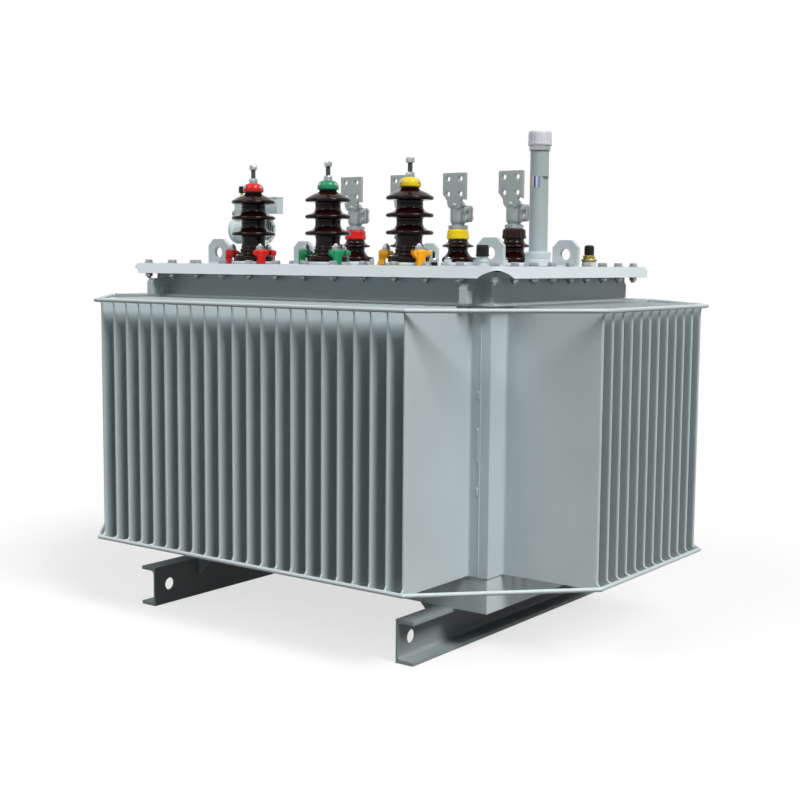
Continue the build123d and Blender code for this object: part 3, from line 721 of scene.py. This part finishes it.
# Terminals: hexagon nut, split clamping barrel with two bolts, neck and drilled palm
palm_height = 72
palm_half = 36.5
palm_bottom = level("lv_terminals") - cover_top - palm_height
palm_top = palm_bottom + palm_height
palm_hole = 7
palm_hole_place = 20
barrel_foot = [(0, 111, 0), (17, 111, 0), (19, 112.5), (21, 117), (21.5, 122)]
barrel = smooth_outline(barrel_foot + [(21.5, 155), (20.5, 160), (17, 163), (8, 164.5), (0, 165, 0)])
neck = smooth_outline([(0, -2, 0), (20.5, -2, 0), (21, 3), (19, 9), (13, 15), (5, 18), (0, 18.5, 0)])
terminals = Shape()
terminal_bolts = Shape()
for index, (x, y) in enumerate(lv_places):
    terminals.hexagon(46, 12, at(x, y, cover_top + 96, 14 + 23 * index))
    terminals.lathe([(0, 108), (17, 108), (17, 112), (0, 112)], at(x, y, cover_top), sides=32)
    terminals.lathe(barrel, at(x, y, cover_top), sides=48)
    for side in (-1, 1):
        ear = rounded([(14, 114, 2), (40, 116, 5), (42, 124, 4), (42, 152, 4), (40, 159, 5), (14, 160, 2)], 3)
        terminals.plate(ear, [], 7, facing(x, y + side * 5.5, cover_top, (0, -1, 0)), edge=1.5)
    for height in (126, 149):
        spot = (x + 33, y - 9, cover_top + height)
        terminal_bolts.washer(9, 1.6, facing(*spot, (0, -1, 0)))
        terminal_bolts.hexagon(13, 6, facing(spot[0], spot[1] - 1.6, spot[2], (0, -1, 0)))
        terminal_bolts.hexagon(13, 6, facing(spot[0], y + 9, spot[2], (0, 1, 0)))
    # Palm: a plate in front of the barrel's axis, its lower corners cut away towards the neck
    palm_y = y - 17
    corners = [
        (-palm_half, palm_top, 3),
        (-palm_half, palm_bottom + 16, 4),
        (-23, palm_bottom - 1, 6),
        (-21, palm_bottom - 14, 5),
        (-15, palm_bottom - 22, 3),
        (20, palm_bottom - 22, 3),
        (22, palm_bottom - 12, 3),
    ]
    notch = [(29 + px, palm_bottom - 4 + pz, 0) for px, pz in circle_points(7.4, 9, 225, -190)]
    corners += notch + [(palm_half, palm_bottom + 3, 2), (palm_half, palm_top, 3)]
    palm_middle = palm_bottom + palm_height / 2
    holes = [
        [(hole_x + px, palm_middle + hole_z + pz) for px, pz in circle_points(palm_hole, 28)]
        for hole_x in (-palm_hole_place, palm_hole_place)
        for hole_z in (-palm_hole_place, palm_hole_place)
    ]
    terminals.plate(rounded(corners, 2), holes, 10, facing(x, palm_y, cover_top, (0, -1, 0)), edge=0.8)
    # Neck: the casting swells from the barrel's top into the back of the palm
    terminals.lathe(neck, at(x, y - 3, cover_top + 157), sides=40)
terminals.piece("lv_terminal_castings", tinned_metal, "tinned_metal", ["lv_terminals"])
terminal_bolts.piece("lv_terminal_bolts", zinc_steel, "zinc_steel")

# Oil gauge: base ring, collar, tube with a seam, sight window, plain bands and the toothed cap
gauge_x, gauge_y = middle("gauge_cap")
gauge_place = at(gauge_x, gauge_y, cover_top)
shape = Shape()
shape.turned([(0, 0, 0), (32, 0, 0), (33, 1.5), (32.5, 8), (31, 17), (30, 18, 0), (0, 18, 0)], gauge_place)
shape.turned([(0, 18, 0), (30, 18, 0), (30.5, 19), (30.5, 33), (29, 35, 0), (0, 35, 0)], gauge_place)
shape.piece("gauge_collars", cover_paint, "cover_paint", ["gauge_base"])
cap_z = level("gauge_cap") - cover_top
cap_foot = cap_z - 36
cap_teeth = 22
tooth_circle = 27.2
cap_outline = [
    (0, cap_foot, 0),
    (27.6, cap_foot, 0),
    (27.8, cap_z - 32),
    (27.6, cap_z - 10),
    (26.6, cap_z - 4),
    (23, cap_z - 0.8),
    (0, cap_z, 0),
]
shape = Shape().turned(cap_outline, gauge_place, sides=cap_teeth * 6, scallop=0.008, lobes=cap_teeth)
tooth_outline = rounded([(-1.2, -2), (1.2, -2), (1.2, 2), (-1.2, 2)], 0.6)
for tooth in range(cap_teeth):
    turn = tooth * 360 / cap_teeth
    angle = math.radians(turn)
    tooth_x = gauge_x + tooth_circle * math.cos(angle)
    tooth_y = gauge_y + tooth_circle * math.sin(angle)
    shape.prism(tooth_outline, 8, at(tooth_x, tooth_y, cover_top + cap_foot, turn), edge=0.4)
shape.piece("gauge_cap_shell", cap_white, "cap_white", ["gauge_cap"])
ring_outline = [
    (0, cap_z - 48),
    (25, cap_z - 48),
    (25.5, cap_z - 47),
    (25.5, cap_z - 37),
    (25, cap_foot),
    (0, cap_foot),
]
Shape().lathe(ring_outline, gauge_place).piece("gauge_ring", zinc_steel, "zinc_steel")
seam_ends = [(gauge_x + 9, gauge_y - 20.8, cover_top + height) for height in (190, 277)]
Shape().bead(*seam_ends, 0.8, 3, outward=(0.4, -1, 0)).piece("gauge_seam", tank_paint, "tank_paint")
tube_radius = 22.7
band_height = 26
band_level = 188
for name, look, start, end in (
    ("gauge_band_gold", band_gold, -132, -109),
    ("gauge_band_pale_left", band_pale, -109, -94),
    ("gauge_band_dark", band_dark, -94, -82),
    ("gauge_band_pale_right", band_pale, -82, -69),
    ("gauge_band_blue", band_blue, -69, -57),
):
    arc = circle_points(tube_radius, 9, start, end - start)
    inner = circle_points(tube_radius - 0.6, 9, end, start - end)
    shape = Shape().prism(arc + inner, band_height, at(gauge_x, gauge_y, cover_top + band_level))
    shape.piece(name, look)

# Gas relay behind the red bushing
relay_x, relay_y = middle("relay_riser")
relay_z = cover_top + 94
relay_half = 57.5
relay = Shape()
relay_bolts = Shape()
end_on = facing(relay_x - relay_half, relay_y, relay_z, (1, 0, 0))
left_flange = [(0, 0, 0), (34, 0, 0), (37, 1), (38, 4), (38, 10), (37, 11, 0), (33, 11.5, 0)]
drum = [(31, 15), (32, 57), (31, 100)]
right_flange = [(33, 103.5, 0), (37, 104, 0), (38, 105), (38, 113), (36, 115, 0)]
window_seat = [(28, 115, 0), (27.5, 112, 0), (0, 112, 0)]
relay.turned(left_flange + drum + right_flange + window_seat, end_on, sides=64)
flange_circle = 32.6
for step in range(8):
    angle = math.radians(22.5 + 45 * step)
    bolt_y, bolt_z = relay_y + flange_circle * math.cos(angle), relay_z + flange_circle * math.sin(angle)
    spot = (relay_x + relay_half, bolt_y, bolt_z)
    relay_bolts.lathe([(0, 0), (3.4, 0), (3.4, 2), (0, 2.6)], facing(*spot, (1, 0, 0)), sides=14)
head = rounded([(-50, -20), (48, -20), (48, 20), (-50, 20)], 5)
relay.prism(head, 56, at(relay_x, relay_y, cover_top + 118), edge=2)
plug = facing(relay_x - 49, relay_y, cover_top + 142, (-1, 0, 0))
plug_foot = [(0, 0, 0), (9.5, 0, 0), (9.5, 12, 0), (8.8, 12.6, 0)]
plug_cap = [(9.5, 13.2, 0), (9.4, 19), (7, 21, 0), (0, 21, 0)]
relay.turned(plug_foot + plug_cap, plug, sides=32)
relay.piece("relay_drum", tank_paint, "tank_paint", ["relay_body"])
relay_bolts.piece("relay_bolts", zinc_steel, "zinc_steel")
box_outline = rounded([(48, -13), (108, -13), (108, 13), (48, 13)], 3)
lid_outline = rounded([(47.5, -13.8), (108.8, -13.8), (108.8, 13.8), (47.5, 13.8)], 3)
shape = Shape()
shape.prism(box_outline, 42, at(relay_x, relay_y, cover_top + 139), edge=1)
shape.prism(lid_outline, 4, at(relay_x, relay_y, cover_top + 181), edge=1)
shape.piece("relay_box", tank_paint, "tank_paint", ["relay_junction_box"])
window_place = facing(relay_x + relay_half - 4, relay_y, relay_z, (1, 0, 0))
shape = Shape().washer(27.5, 2, window_place, sides=48)
shape.piece("relay_window", relay_glass, "relay_glass", ["relay_sight_glass"])
shape = Shape()
for rib in range(-2, 3):
    height = 2 * math.sqrt(27**2 - (rib * 9) ** 2)
    outline = [(-0.9, -height / 2), (0.9, -height / 2), (0.9, height / 2), (-0.9, height / 2)]
    shape.prism(outline, 1.5, facing(relay_x + relay_half - 0.5, relay_y + rib * 9, relay_z, (1, 0, 0)))
shape.piece("relay_glass_ribs", tank_paint, "tank_paint")
cock_x, cock_y = relay_x - 38, relay_y
cock_z = cover_top + 173.5
cock_place = at(cock_x, cock_y, cock_z)
cock_outline = [(0, 7, 0), (5, 7, 0), (6.6, 9), (6.8, 15), (5, 18), (4, 21), (4, 26, 0), (0, 26, 0)]
shape = Shape().hexagon(14, 7, at(cock_x, cock_y, cock_z, 10))
shape.turned(cock_outline, cock_place, sides=28)
shape.washer(3, 9, facing(cock_x, cock_y, cock_z + 12, (0.8, -0.6, 0)), sides=16)
shape.piece("cock_body", brass, "brass", ["relay_test_cock"])
knob_outline = [(0, 25, 0), (7, 25, 0), (8.3, 27), (8.5, 38), (7, 44), (0, 45, 0)]
shape = Shape().turned(knob_outline, cock_place, sides=60, scallop=0.03, lobes=15)
shape.piece("cock_knob", knob_black, "knob_black")

# Thermometer pocket, filling knob and cover stud
x, y = middle("thermometer_pocket")
fitting = at(x, y, cover_top)
shape = Shape().turned([(0, 0, 0), (18, 0, 0), (18, 11), (17, 13, 0), (0, 13, 0)], fitting)
shape.piece("pocket_boss", cover_paint, "cover_paint", ["thermometer_pocket"])
shape = Shape().lathe([(0, 13), (19.4, 13), (20, 13.8), (20, 18), (19.4, 19), (0, 19)], fitting)
shape.hexagon(27, 10, at(x, y, cover_top + 19, 10))
shape.piece("pocket_brass", brass, "brass")
knob_outline = [(0, 29, 0), (11, 29, 0), (12, 31), (12, 47), (10.5, 52), (6, 54), (0, 54, 0)]
shape = Shape().turned(knob_outline, fitting, sides=72, scallop=0.03, lobes=18)
shape.piece("pocket_knob", knob_black, "knob_black")
x, y = middle("filling_knob")
fitting = at(x, y, cover_top)
stub_foot = [(0, 0), (13.4, 0), (13.4, 2), (12, 2.4), (12, 9)]
stub_ring = [(13, 9.5), (13, 12), (12, 12.4), (12, 22), (0, 22)]
shape = Shape().lathe(stub_foot + stub_ring, fitting)
shape.piece("knob_stub", cover_paint, "cover_paint")
knob_outline = [(0, 22, 0), (15, 22, 0), (15, 25, 0), (14, 25.6, 0), (14, 42.5), (13.5, 44, 0), (0, 44, 0)]
shape = Shape().turned(knob_outline, fitting, sides=96, scallop=0.02, lobes=24)
rib_outline = rounded([(-2, -2.6), (2, -2.6), (2, 2.6), (-2, 2.6)], 0.8)
for step in range(8):
    angle = math.radians(45 * step)
    spot = (x + 11 * math.cos(angle), y + 11 * math.sin(angle), cover_top + 43.8)
    shape.prism(rib_outline, 4, at(*spot, 45 * step), edge=0.6)
shape.piece("knob_cap", knob_black, "knob_black", ["filling_knob"])
x, y = middle("cover_stud")
shape = Shape().lathe([(0, 0), (9, 0), (9, 7), (8, 8), (0, 8)], at(x, y, cover_top))
shape.thread(3, 1.25, 16, at(x, y, cover_top + 17))
shape.piece("stud_rod", knob_black, "knob_black")
shape = Shape().hexagon(19, 9, at(x, y, cover_top + 8, 20), bore=3)
shape.piece("stud_nut", zinc_steel, "zinc_steel", ["cover_stud"])

# Cover bolts all round, with nuts and washers under the flange
bolt_x, bolt_y = 546, 330
long_spaces, short_spaces = 12, 8
bolt_places = []
for step in range(long_spaces + 1):
    for side in (-1, 1):
        bolt_places.append((-bolt_x + step * bolt_x / (long_spaces / 2), side * bolt_y))
for step in range(1, short_spaces):
    for side in (-1, 1):
        bolt_places.append((side * bolt_x, -bolt_y + step * bolt_y / (short_spaces / 2)))
heads = Shape()
undersides = Shape()
for index, (x, y) in enumerate(bolt_places):
    turn = (index * 37) % 60
    heads.washer(12, 2.2, at(x, y, cover_top))
    heads.hexagon(18, 7.5, at(x, y, cover_top + 2.2, turn))
    below = facing(x, y, flange_bottom, (0, 0, -1), up=(0, 1, 0))
    undersides.washer(12, 2.2, below)
    undersides.hexagon(18, 9, below @ at(0, 0, 2.2, turn))
    undersides.thread(5.8, 1.75, 5, below @ at(0, 0, 11))
heads.piece("cover_bolt_heads", zinc_steel, "zinc_steel")
undersides.piece("cover_bolt_nuts", zinc_steel, "zinc_steel")

# Weld metal: at the posts, the ledge, the eyes and the fin tips
post_leg_long, post_leg_short = 26, 62.5
eye_x, eye_y = 436, 175
eye_sheet_half = 6
rod_inset = 5
rod_levels = (wall_bottom + rod_inset, wall_top - rod_inset)
sides = (-1, 1)
welds = Shape()
seed = 0
for side_x in sides:
    for side_y in sides:
        x, y = side_x * half_x, side_y * half_y
        low, high = wall_bottom + 2, wall_top - 2
        seam_x, seam_y = x - side_x * post_leg_long, y - side_y * post_leg_short
        welds.bead((seam_x, y, low), (seam_x, y, high), 2.2, seed, outward=(0, side_y, 0))
        welds.bead((x, seam_y, low), (x, seam_y, high), 2.2, seed + 1, outward=(side_x, 0, 0))
        seed += 2
for low, high in ((366, 388), (440, 522), (584, 606)):
    spot = (half_x - 31, -half_y)
    welds.bead((*spot, low), (*spot, high), 3.4, seed, ripple=9, outward=(0, -1, 0))
    seed += 1
for side in sides:
    x = side * half_x
    y = side * half_y
    z = neck_bottom + 0.5
    welds.bead((-half_x, y, z), (half_x, y, z), 3, seed, outward=(0, side, 0.8))
    welds.bead((x, -half_y, z), (x, half_y, z), 3, seed + 1, outward=(side, 0, 0.8))
    seed += 2
eye_feet = [(side_x * eye_x, side_y * eye_y, 36) for side_x in sides for side_y in sides]
eye_feet.append((*middle("cover_centre_eye"), 23))
for x, y, reach in eye_feet:
    for side in sides:
        seam_y, z = y + side * eye_sheet_half, cover_top + 0.5
        welds.bead((x - reach, seam_y, z), (x + reach, seam_y, z), 3.2, seed, outward=(0, side, 0.8))
        seed += 1
long_fins = [(index - (long_count - 1) / 2) * fin_pitch for index in range(long_count)]
short_fins = [(index - (short_count - 1) / 2) * fin_pitch for index in range(short_count)]
tip_x, tip_y = half_x + fin_tip + 0.5, half_y + fin_tip + 0.5
for rod_z in rod_levels:
    for side in sides:
        for place in long_fins:
            welds.blob((place, side * tip_y, rod_z), (4.2, 2.6, 4.4), seed)
            seed += 1
        for place in short_fins:
            welds.blob((side * tip_x, place, rod_z), (2.6, 4.2, 4.4), seed)
            seed += 1
welds.piece("welds", tank_paint, "tank_paint", crease=70)

# Bends of the tie rods, where their straight bars meet
elbows = Shape()
elbow_x, elbow_y = half_x + fin_tip + 4.6, half_y + fin_tip + 4.6
long_end, short_end = long_fins[-1] + 8, short_fins[-1] + 8
for rod_z in rod_levels:
    for side_x in sides:
        for side_y in sides:
            elbows.blob((side_x * long_end, side_y * elbow_y, rod_z), (5.3, 5.0, 5.2), seed)
            elbows.blob((side_x * elbow_x, side_y * short_end, rod_z), (5.0, 5.3, 5.2), seed + 1)
            seed += 2
elbows.piece("rod_elbows", tank_paint, "tank_paint", crease=80)

# Floor, lights and camera


def background_rays(tree):
    """1 for camera, glossy and transmission rays, 0 for the light that reaches the object."""
    rays = tree.nodes.new("ShaderNodeLightPath")
    factor = rays.outputs["Is Camera Ray"]
    for name in ("Is Glossy Ray", "Is Transmission Ray"):
        larger = tree.nodes.new("ShaderNodeMath")
        larger.operation = "MAXIMUM"
        tree.links.new(factor, larger.inputs[0])
        tree.links.new(rays.outputs[name], larger.inputs[1])
        factor = larger.outputs["Value"]
    return factor


floor_reach = 30
floor_corners = [(x * floor_reach, y * floor_reach, 0) for x, y in ((-1, -1), (1, -1), (1, 1), (-1, 1))]
floor_mesh = bpy.data.meshes.new("floor")
floor_mesh.from_pydata(floor_corners, [], [(0, 1, 2, 3)])
floor_look = bpy.data.materials.new("floor")
floor_look.use_nodes = True
floor_tree = floor_look.node_tree
floor_shader = floor_tree.nodes["Principled BSDF"]
floor_shader.inputs["Base Color"].default_value = (0.97, 0.97, 0.97, 1)
floor_shader.inputs["Roughness"].default_value = 0.9
floor_shader.inputs["Specular IOR Level"].default_value = 0.0
floor_bounce = floor_tree.nodes.new("ShaderNodeBsdfDiffuse")
floor_bounce.inputs["Color"].default_value = (0.08, 0.08, 0.08, 1)
floor_mix = floor_tree.nodes.new("ShaderNodeMixShader")
floor_tree.links.new(background_rays(floor_tree), floor_mix.inputs["Fac"])
floor_white = floor_tree.nodes.new("ShaderNodeEmission")
floor_white.inputs["Strength"].default_value = 1.0
floor_seen = floor_tree.nodes.new("ShaderNodeMixShader")
floor_seen.inputs["Fac"].default_value = 0.7
floor_tree.links.new(floor_shader.outputs["BSDF"], floor_seen.inputs[1])
floor_tree.links.new(floor_white.outputs["Emission"], floor_seen.inputs[2])
floor_tree.links.new(floor_seen.outputs["Shader"], floor_mix.inputs[2])
floor_tree.links.new(floor_bounce.outputs["BSDF"], floor_mix.inputs[1])
floor_tree.links.new(floor_mix.outputs["Shader"], floor_tree.nodes["Material Output"].inputs["Surface"])
floor_mesh.materials.append(floor_look)
floor = bpy.data.objects.new("floor", floor_mesh)
floor.location = (0, 0, -0.0005)
bpy.context.scene.collection.objects.link(floor)

world = bpy.data.worlds.new("surroundings")
bpy.context.scene.world = world
world.use_nodes = True
tree = world.node_tree
tree.nodes.clear()
output = tree.nodes.new("ShaderNodeOutputWorld")
seen = tree.nodes.new("ShaderNodeBackground")
seen.inputs["Color"].default_value = (1, 1, 1, 1)
seen.inputs["Strength"].default_value = 1.0
fill = tree.nodes.new("ShaderNodeBackground")
fill.inputs["Color"].default_value = (0.93, 0.98, 1, 1)
fill.inputs["Strength"].default_value = 0.09
mix = tree.nodes.new("ShaderNodeMixShader")
tree.links.new(background_rays(tree), mix.inputs["Fac"])
tree.links.new(fill.outputs["Background"], mix.inputs[1])
tree.links.new(seen.outputs["Background"], mix.inputs[2])
tree.links.new(mix.outputs["Shader"], output.inputs["Surface"])


def area_light(name, place, aim, size, watts):
    """A rectangular light at place that points at aim, in metres."""
    light = bpy.data.lights.new(name, "AREA")
    light.shape = "RECTANGLE"
    light.size, light.size_y = size
    light.energy = watts
    made = bpy.data.objects.new(name, light)
    made.location = place
    made.rotation_mode = "QUATERNION"
    made.rotation_quaternion = (Vector(aim) - Vector(place)).to_track_quat("-Z", "Y")
    bpy.context.scene.collection.objects.link(made)


def sun_light(name, towards, strength, spread):
    """A soft sun whose light comes from the direction towards."""
    light = bpy.data.lights.new(name, "SUN")
    light.energy = strength
    light.angle = math.radians(spread)
    made = bpy.data.objects.new(name, light)
    made.location = Vector(towards) * 5
    made.rotation_mode = "QUATERNION"
    made.rotation_quaternion = Vector(towards).to_track_quat("Z", "Y")
    bpy.context.scene.collection.objects.link(made)


sun_light("key", (0.64, -0.15, 0.78), 2.95, 26)
sun_light("front", (-0.3, -1.0, 1.05), 0.95, 26)
sun_light("top", (0, 0, 1.0), 0.15, 60)
for row, distance in enumerate((3.4, 5.2)):
    for index in range(5):
        spot = (-2.6 + index * 1.5, -distance, 2.9 + 0.9 * row)
        area_light(f"lamp_{row}_{index}", spot, (0, 0, 1), (0.2, 0.03), 0.6)

scene = bpy.context.scene
scene.view_settings.view_transform = "Standard"
camera_place = (2.0926, -2.7451, 0.8897)
camera_angles = (36.695, 6.0233, 0.4489)
camera_data = bpy.data.cameras.new("camera")
camera_data.lens = 58.97
camera_data.sensor_width = 36
camera_data.clip_end = 200
camera = bpy.data.objects.new("camera", camera_data)
yaw, pitch, roll = (math.radians(angle) for angle in camera_angles)
forward = Vector((-math.sin(yaw) * math.cos(pitch), math.cos(yaw) * math.cos(pitch), -math.sin(pitch)))
right = Vector((math.cos(yaw), math.sin(yaw), 0))
up = right.cross(forward)
tilted_right = right * math.cos(roll) + up * math.sin(roll)
tilted_up = up * math.cos(roll) - right * math.sin(roll)
turn = Matrix((tilted_right, tilted_up, -forward)).transposed().to_4x4()
camera.matrix_world = Matrix.Translation(camera_place) @ turn
scene.collection.objects.link(camera)
scene.camera = camera
